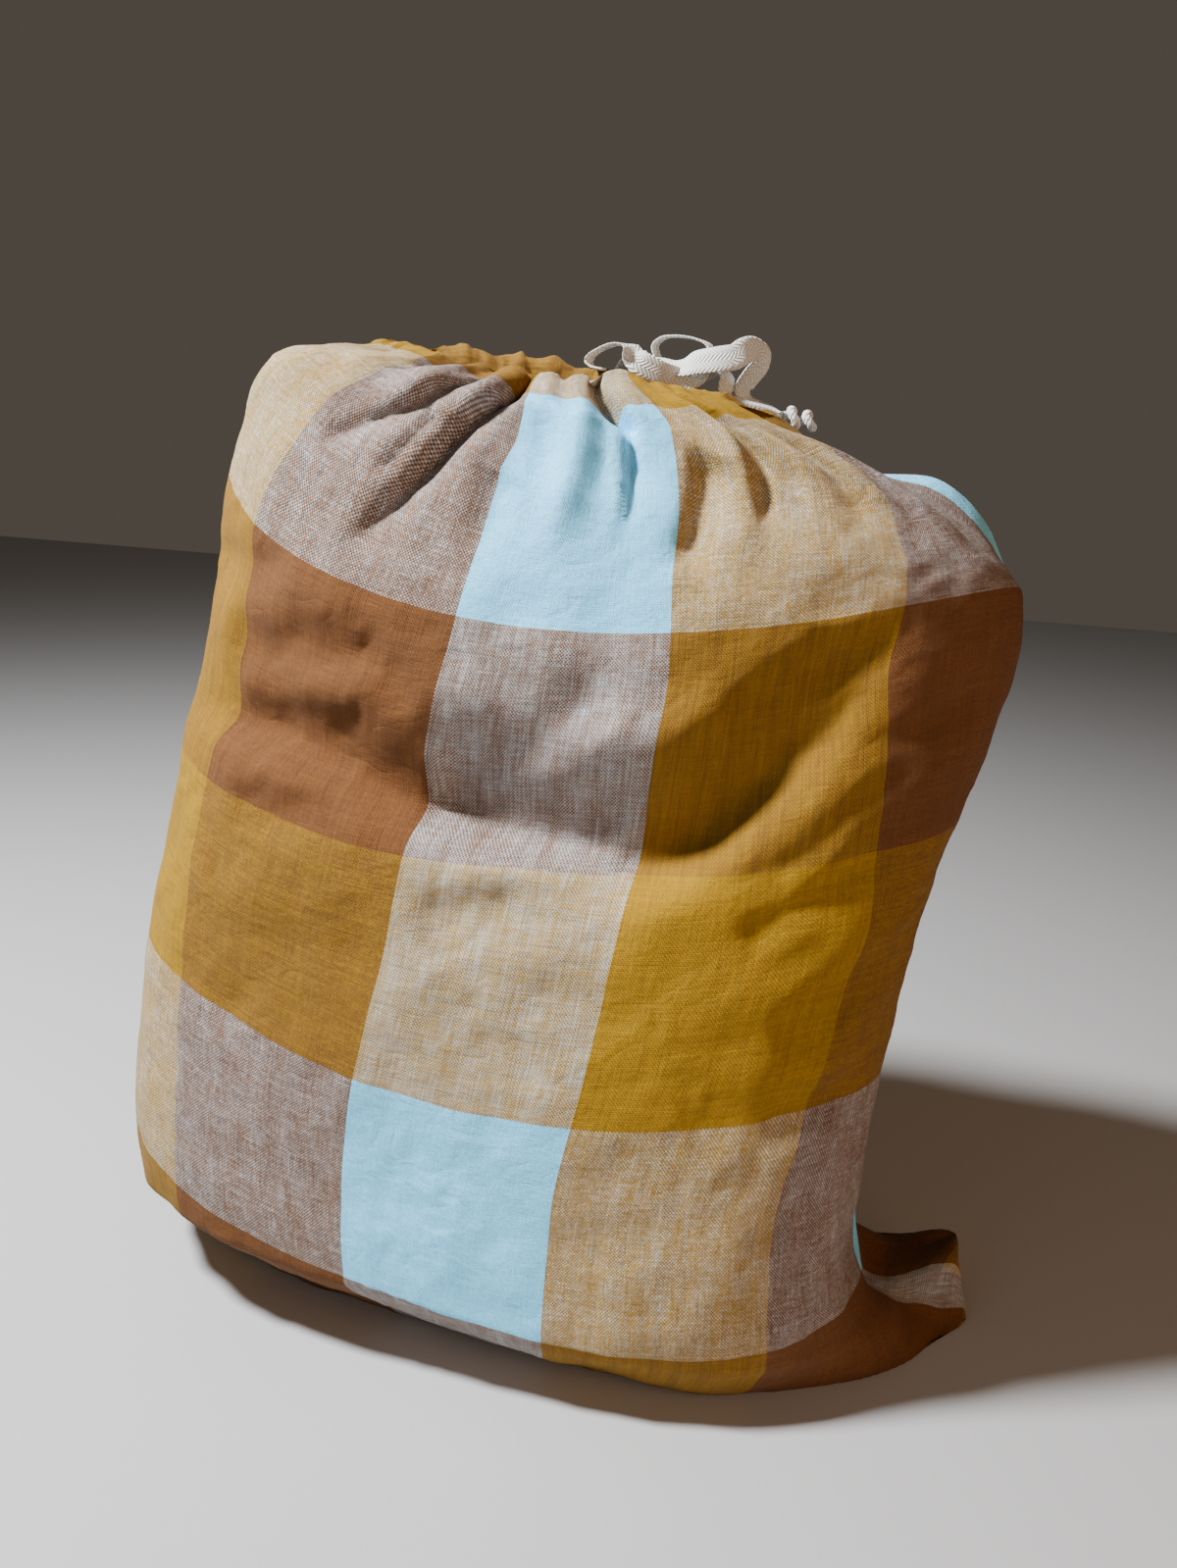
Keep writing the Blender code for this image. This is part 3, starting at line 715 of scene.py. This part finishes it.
def tape_mesh(route, twists):
    """A thin ribbon along the route, turned as the twists say, and the route's even points."""
    points = smooth_route(route, TAPE_STEP)
    rows = smooth_rows(twists, np.linspace(0, 1, len(points)))
    width = rows[:, 4]
    thick = TAPE_THICK + TWISTED_THICK * ramp(TAPE_WIDTH - width, *TWISTED_LOSS)
    places = [x * TAPE_WIDTH for x, y in (*TAPE_PROFILE, TAPE_PROFILE[0])]
    return swept_mesh(points, rows[:, 1:4], width, thick, TAPE_PROFILE, places), points


def add_tape(name, node, route, twists):
    """One free end of the tape, from the mouth to the knot."""
    mesh, points = tape_mesh(route, twists)
    tape = add_mesh(name, mesh, tape_material())
    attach(tape, "root")
    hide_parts(node)


KNOT_CENTRE = (90, 10, 435)
KNOT_DIP = 14.0  # degrees
KNOT_START = -8.0  # from the centre, along the knot
KNOT_LENGTH = 15.0
KNOT_RADIUS = 3.2  # of the coil that the rope's middle follows
KNOT_TURNS = 2.1
KNOT_TURNED = -0.2  # where the first turn begins
KNOT_WEAVE = 1.2  # how far the turns lean over each other
KNOT_ROUND = 0.4  # less than 1 fills the coil out towards its ends
KNOT_TIP = 0.02  # the share at each end where the coil stays open
KNOT_POINTS = 120
ROPE_RADIUS = 1.9
ROPE_SIDES = 14


def knot_mesh():
    """The overhand knot in the twisted ends: a rope that winds round itself and comes out again."""
    share = np.linspace(0, 1, KNOT_POINTS)
    turn = 2 * math.pi * (share * KNOT_TURNS + KNOT_TURNED)
    radius = KNOT_RADIUS * np.sin(math.pi * np.clip(share, KNOT_TIP, 1 - KNOT_TIP)) ** KNOT_ROUND
    along = KNOT_START + KNOT_LENGTH * share + KNOT_WEAVE * np.sin(2 * turn)
    points = np.column_stack((along, radius * np.cos(turn), radius * np.sin(turn)))
    away = np.column_stack((np.zeros(KNOT_POINTS), np.cos(turn), np.sin(turn)))
    angles = np.linspace(0, 2 * math.pi, ROPE_SIDES + 1)
    profile = [(math.cos(angle), math.sin(angle)) for angle in angles[:-1]]
    radii = np.full(KNOT_POINTS, ROPE_RADIUS)
    return swept_mesh(points, away, radii, radii, profile, angles * ROPE_RADIUS)


def add_knot():
    knot = add_mesh("drawstring_knot_rope", knot_mesh(), tape_material())
    knot.location = [place * MM for place in KNOT_CENTRE]
    knot.rotation_euler = (0, math.radians(KNOT_DIP), 0)
    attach(knot, "root")
    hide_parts("drawstring_knot")
    return knot


# ---------------------------------------------------------------- materials

SHEEN_ROUGHNESS = 0.6
SPECULAR = 0.25


class Nodes:
    """Short calls for building a material's nodes."""

    def __init__(self, name):
        self.material = bpy.data.materials.get(name)
        self.made = self.material is not None
        if self.made:
            return
        self.material = bpy.data.materials.new(name)
        self.material.use_nodes = True
        self.tree = self.material.node_tree
        self.shader = self.tree.nodes["Principled BSDF"]

    def new(self, kind, inputs=(), output=0, **settings):
        node = self.tree.nodes.new(kind)
        for name, value in settings.items():
            setattr(node, name, value)
        for socket, value in inputs:
            self.put(node.inputs[socket], value)
        return node.outputs[output]

    def put(self, socket, value):
        if isinstance(value, bpy.types.NodeSocket):
            self.tree.links.new(value, socket)
        else:
            socket.default_value = value

    def math(self, operation, *values, clamp=False):
        pairs = list(enumerate(values))
        return self.new("ShaderNodeMath", pairs, operation=operation, use_clamp=clamp)

    def scale(self, value, factor, offset=0.0):
        return self.math("MULTIPLY_ADD", value, factor, offset)

    def mix(self, share, a, b, mode="MIX"):
        pairs = [("Factor", share), (6, a), (7, b)]
        return self.new("ShaderNodeMix", pairs, output=2, data_type="RGBA", blend_type=mode)

    def blend(self, share, a, b):
        return self.new("ShaderNodeMix", [("Factor", share), (2, a), (3, b)], data_type="FLOAT")

    def noise(self, vector, scale, detail, roughness=0.5):
        pairs = [("Vector", vector), ("Scale", scale), ("Detail", detail), ("Roughness", roughness)]
        return self.new("ShaderNodeTexNoise", pairs)

    def grain(self, u, v, grain):
        at = self.vector(self.scale(u, grain.u), self.scale(v, grain.v), grain.layer)
        return self.noise(at, 1.0, grain.detail, grain.roughness)

    def vector(self, x, y, z=0.0):
        return self.new("ShaderNodeCombineXYZ", [(0, x), (1, y), (2, z)])

    def random(self, value):
        return self.new("ShaderNodeTexWhiteNoise", [("W", value)], noise_dimensions="1D")

    def shaded(self, color, shade):
        return self.mix(1.0, color, self.vector(shade, shade, shade), "MULTIPLY")

    def steps(self, share, colors):
        """The colours in turn, in equal steps of the share."""
        stepped = self.tree.nodes.new("ShaderNodeValToRGB")
        stepped.color_ramp.interpolation = "CONSTANT"
        elements = stepped.color_ramp.elements
        while len(elements) < len(colors):
            elements.new(0.5)
        for i, color in enumerate(colors):
            elements[i].position = i / len(colors)
            elements[i].color = color
        self.put(stepped.inputs[0], share)
        return stepped.outputs[0]

    def blue(self, color):
        return self.new("ShaderNodeSeparateColor", [(0, color)], output=2)

    def cloth_uv(self):
        """The cloth's own coordinates in millimetres."""
        uv = self.new("ShaderNodeUVMap", uv_map="cloth")
        parts = self.tree.nodes.new("ShaderNodeSeparateXYZ")
        self.put(parts.inputs[0], uv)
        return self.scale(parts.outputs[0], 1 / MM), self.scale(parts.outputs[1], 1 / MM)

    def bump(self, height, distance, strength, normal=None):
        pairs = [("Height", height), ("Distance", distance), ("Strength", strength)]
        if normal is not None:
            pairs.append(("Normal", normal))
        return self.new("ShaderNodeBump", pairs)

    def finish(self, color, roughness, normal, sheen=0.0):
        self.put(self.shader.inputs["Base Color"], color)
        self.put(self.shader.inputs["Roughness"], roughness)
        self.put(self.shader.inputs["Normal"], normal)
        self.shader.inputs["Sheen Weight"].default_value = sheen
        self.shader.inputs["Sheen Roughness"].default_value = SHEEN_ROUGHNESS
        self.shader.inputs["Specular IOR Level"].default_value = SPECULAR
        return self.material


MUSTARD = (0.27, 0.146, 0.0, 1)
RUST = (0.118, 0.043, 0.008, 1)
WHITE = (0.65, 0.76, 0.80, 1)
COOL_LIGHT_TINT = (0.10, 0.62, 1.0, 1)  # painted cool light: the blue that white crossed with white is tinted with, standing in for cool daylight
COOL_LIGHT_SHARE = 0.8
WHITE_CROSSED = 0.5  # the warp's blue times the weft's is more than this only where white crosses white
STRIPE = 100.0  # the check's blocks are square
WARP_START = -25.0  # where the first stripe would begin, left of the seam
WEFT_START = 14.0
REAR_TURN = 479.0  # the rear panel's cloth runs the other way from here
REAR_RISE = 32.0  # and its rows lie this much higher at the bottom
REAR_STRETCH = 0.06  # which they lose on the way up
YARN = 0.74  # from one yarn to the next

# Noises that vary the cloth: how often each repeats per mm, or per yarn, along its u and its v, which
# layer of the noise it reads, and its detail and roughness.
Grain = namedtuple("Grain", "u v layer detail roughness")
SWAY = Grain(0.004, 0.012, 0.0, 1.0, 0.5)
WARP_SLUB = Grain(3.7, 0.035, 0.0, 3.0, 0.7)
WEFT_SLUB = Grain(0.035, 3.7, 0.0, 3.0, 0.7)
WARP_STREAK = Grain(1.1, 0.06, 7.0, 3.0, 0.7)
WEFT_STREAK = Grain(0.09, 1.3, 3.0, 3.0, 0.7)
PATCH = Grain(0.10, 0.035, 9.0, 3.0, 0.6)
WEAR = Grain(0.02, 0.02, 5.0, 3.0, 0.6)
FUZZ = Grain(2.2, 2.2, 0.0, 3.0, 0.6)
TONE = Grain(0.3, 0.12, 0.0, 2.0, 0.5)

# What each noise or pattern is multiplied by, and what is then added to it.
SWAY_MM = (3.0, -1.5)
SLUB_SHADE = (1.2, 0.4)
YARN_SHADE = (0.24, -0.12)
WEAR_SHADE = (0.22, 0.89)
CROSSING_SHADE = (0.24, -0.12)
LINEN_ROUGHNESS = (0.2, 0.78)
# The same for what decides which yarn shows: the weave itself, each crossing and each patch. Streaks
# and darker yarns are only multiplied.
WEAVE_TOP = (0.36, 0.32)
CROSSING_TOP = (0.14, -0.12)
PATCH_TOP = (0.45, -0.225)
STREAK_TOP = 0.7
DARKER_TOP = 0.41

# Small creases: how often they repeat along u and v, the noise that bends them and the one they are.
CREASES = (0.028, 0.040)
CREASE_BEND = (1.3, 2.0)  # a noise's scale and detail
CREASE_FORM = (1.6, 3.0, 0.45)  # its scale, detail and roughness
# Reliefs: their depth and strength.
CREASE_RELIEF = (0.0019, 0.5)
SLUB_RELIEF = (0.0006, 0.5)
WEAVE_RELIEF = (0.00012, 0.8)


def stripe_colors(n, u, v):
    """The colours of the warp and the weft at each place, which run back the other way on the rear."""
    rear = n.math("GREATER_THAN", u, FRONT_WIDTH)
    turned = n.scale(u, -1.0, REAR_TURN + FRONT_WIDTH)
    sway = n.scale(n.grain(u, v, SWAY), *SWAY_MM)
    warp_at = n.math("ADD", n.blend(rear, u, turned), sway)
    risen = n.math("MULTIPLY", rear, n.scale(v, REAR_STRETCH, -REAR_RISE))
    weft_at = n.math("SUBTRACT", n.math("ADD", v, risen), sway)
    repeat = 3 * STRIPE
    warp_share = n.math("FRACT", n.scale(warp_at, 1 / repeat, 4 - WARP_START / repeat))
    weft_share = n.math("FRACT", n.scale(weft_at, 1 / repeat, 4 - WEFT_START / repeat))
    return n.steps(warp_share, (MUSTARD, RUST, WHITE)), n.steps(weft_share, (RUST, WHITE, MUSTARD))


def yarn_color(n, color, slub, yarn):
    """A yarn's own shade, which wanders along it."""
    shade = n.math("ADD", n.scale(slub, *SLUB_SHADE), n.scale(n.random(yarn), *YARN_SHADE))
    return n.shaded(color, shade)


def linen_relief(n, u, v, over, slubs):
    """The yarns' own crowns, then slubs, then small creases."""
    across = n.math("ABSOLUTE", n.math("SINE", n.scale(u, math.pi / YARN)))
    down = n.math("ABSOLUTE", n.math("SINE", n.scale(v, math.pi / YARN)))
    weave = n.bump(n.blend(over, across, down), *WEAVE_RELIEF)
    slubbed = n.bump(slubs, *SLUB_RELIEF, weave)
    at = n.vector(n.scale(u, CREASES[0]), n.scale(v, CREASES[1]))
    bent = n.new("ShaderNodeVectorMath", [(0, at), (1, n.noise(at, *CREASE_BEND))], operation="ADD")
    ridged = n.math("ABSOLUTE", n.scale(n.noise(bent, *CREASE_FORM), 2.0, -1.0))
    return n.bump(ridged, *CREASE_RELIEF, slubbed)


def linen_material():
    """Yarn-dyed check linen: its warp and weft each carry their own stripes."""
    n = Nodes("check_linen")
    u, v = n.cloth_uv()
    warp, weft = stripe_colors(n, u, v)
    column = n.math("FLOOR", n.scale(u, 1 / YARN))
    row = n.math("FLOOR", n.scale(v, 1 / YARN))
    warp_color = yarn_color(n, warp, n.grain(column, v, WARP_SLUB), column)
    weft_color = yarn_color(n, weft, n.grain(u, row, WEFT_SLUB), row)

    # plain weave: warp and weft take turns on top, and the darker of the two shows more
    over = n.math("FLOORED_MODULO", n.math("ADD", column, row), 2.0)
    warp_streak = n.grain(u, v, WARP_STREAK)
    weft_streak = n.grain(u, v, WEFT_STREAK)
    crossing = n.new("ShaderNodeTexWhiteNoise", [("Vector", n.vector(column, row))],
                     noise_dimensions="2D")
    balance = n.scale(n.math("SUBTRACT", warp_streak, weft_streak), STREAK_TOP)
    for part in (
        n.scale(n.math("SUBTRACT", n.blue(warp), n.blue(weft)), DARKER_TOP),
        n.scale(n.grain(u, v, PATCH), *PATCH_TOP),
        n.scale(crossing, *CROSSING_TOP),
    ):
        balance = n.math("ADD", balance, part)
    top = n.math("ADD", n.scale(over, *WEAVE_TOP), balance, clamp=True)
    color = n.mix(top, warp_color, weft_color)

    white_crossed = n.math("GREATER_THAN", n.math("MULTIPLY", n.blue(warp), n.blue(weft)), WHITE_CROSSED)
    # painted cool light: where white crosses white, the colour is tinted blue as cool daylight would light it
    color = n.mix(white_crossed, color, n.mix(COOL_LIGHT_SHARE, color, COOL_LIGHT_TINT))
    shade = n.math("ADD", n.scale(n.grain(u, v, WEAR), *WEAR_SHADE), n.scale(crossing, *CROSSING_SHADE))
    normal = linen_relief(n, u, v, over, n.math("ADD", warp_streak, weft_streak))
    return n.finish(n.shaded(color, shade), n.scale(warp_streak, *LINEN_ROUGHNESS), normal, sheen=0.02)


COTTON_WARM = (0.86, 0.85, 0.78, 1)
COTTON_COOL = (0.80, 0.83, 0.82, 1)
TWILL_PERIOD = 1.9  # from one line of the twill to the next
TWILL_TURN = 2.75  # the width of the tape on which the twill leans one way
TWILL_START = 20.0  # how far left of the tape's middle the first turn is counted from
TWILL_SHADE = (0.15, 0.82)
FUZZ_SHADE = (0.14, -0.07)
FUZZ_RELIEF = 0.8
TWILL_RELIEF = (0.00018, 0.9)
COTTON_ROUGHNESS = 0.9


def tape_material():
    """Unbleached cotton tape in herringbone twill."""
    n = Nodes("herringbone_cotton")
    if n.made:
        return n.material
    u, v = n.cloth_uv()
    folded = n.math("PINGPONG", n.math("ADD", u, TWILL_START), TWILL_TURN)
    twill = n.math("SINE", n.scale(n.math("ADD", folded, v), 2 * math.pi / TWILL_PERIOD))
    fuzz = n.grain(u, v, FUZZ)
    cotton = n.mix(n.grain(u, v, TONE), COTTON_WARM, COTTON_COOL)
    shade = n.math("ADD", n.scale(twill, *TWILL_SHADE), n.scale(fuzz, *FUZZ_SHADE))
    normal = n.bump(n.math("ADD", twill, n.scale(fuzz, FUZZ_RELIEF)), *TWILL_RELIEF)
    return n.finish(n.shaded(cotton, shade), COTTON_ROUGHNESS, normal, sheen=0.3)


# ---------------------------------------------------------------- studio


FLOOR_HALF = 4
FLOOR_DROP = 0.0003  # so that the bag's base isn't in the floor's own plane
FLOOR_COLOR = (0.45, 0.45, 0.45, 1)
FLOOR_ROUGHNESS = 0.7
FLOOR_GRAIN = (60.0, 3.0)
FLOOR_RELIEF = (0.0004, 0.2)
OBJECT_PLACE = 3  # the texture coordinate node's output for places in the object's own frame

Light = namedtuple("Light", "name place size power color")
LIGHTS = (
    Light("key", (-0.72, -0.33, 1.22), 0.19, 61, (0.97, 0.98, 1.0)),
    Light("fill", (-0.8, -1.7, 0.6), 1.4, 4.4, (0.60, 0.80, 1.0)),
    Light("bounce", (1.1, -0.8, 0.6), 1.2, 7.5, (1.0, 0.56, 0.26)),
)
LIGHT_TARGET = (0.0, 0.0, 0.25)
WORLD_COLOR = (0.95, 0.8, 0.66, 1)
WORLD_STRENGTH = 0.085


def floor_material():
    n = Nodes("studio_floor")
    grain = n.noise(n.new("ShaderNodeTexCoord", output=OBJECT_PLACE), *FLOOR_GRAIN)
    return n.finish(FLOOR_COLOR, FLOOR_ROUGHNESS, n.bump(grain, *FLOOR_RELIEF))


def add_floor():
    mesh = bmesh.new()
    bmesh.ops.create_grid(mesh, x_segments=2, y_segments=2, size=FLOOR_HALF)
    floor = add_mesh("studio_floor", mesh, floor_material())
    floor.location.z = -FLOOR_DROP


def add_light(light):
    data = bpy.data.lights.new(light.name, "AREA")
    data.shape = "DISK"
    data.size = light.size
    data.energy = light.power
    data.color = light.color
    obj = bpy.data.objects.new(light.name, data)
    obj.location = light.place
    aim = Vector(LIGHT_TARGET) - Vector(light.place)
    obj.rotation_euler = aim.to_track_quat("-Z", "Y").to_euler()
    bpy.context.scene.collection.objects.link(obj)


def add_world():
    world = bpy.data.worlds.new("studio")
    world.use_nodes = True
    background = world.node_tree.nodes["Background"]
    background.inputs["Color"].default_value = WORLD_COLOR
    background.inputs["Strength"].default_value = WORLD_STRENGTH
    bpy.context.scene.world = world


# ---------------------------------------------------------------- build

add_camera()
knot_rope = add_knot()
add_tape("drawstring_tape_left", "drawstring_left", LEFT_END, LEFT_TWISTS)
add_tape("drawstring_tape_right", "drawstring_right", RIGHT_END, RIGHT_TWISTS)
add_bag()
add_floor()
for light in LIGHTS:
    add_light(light)
add_world()
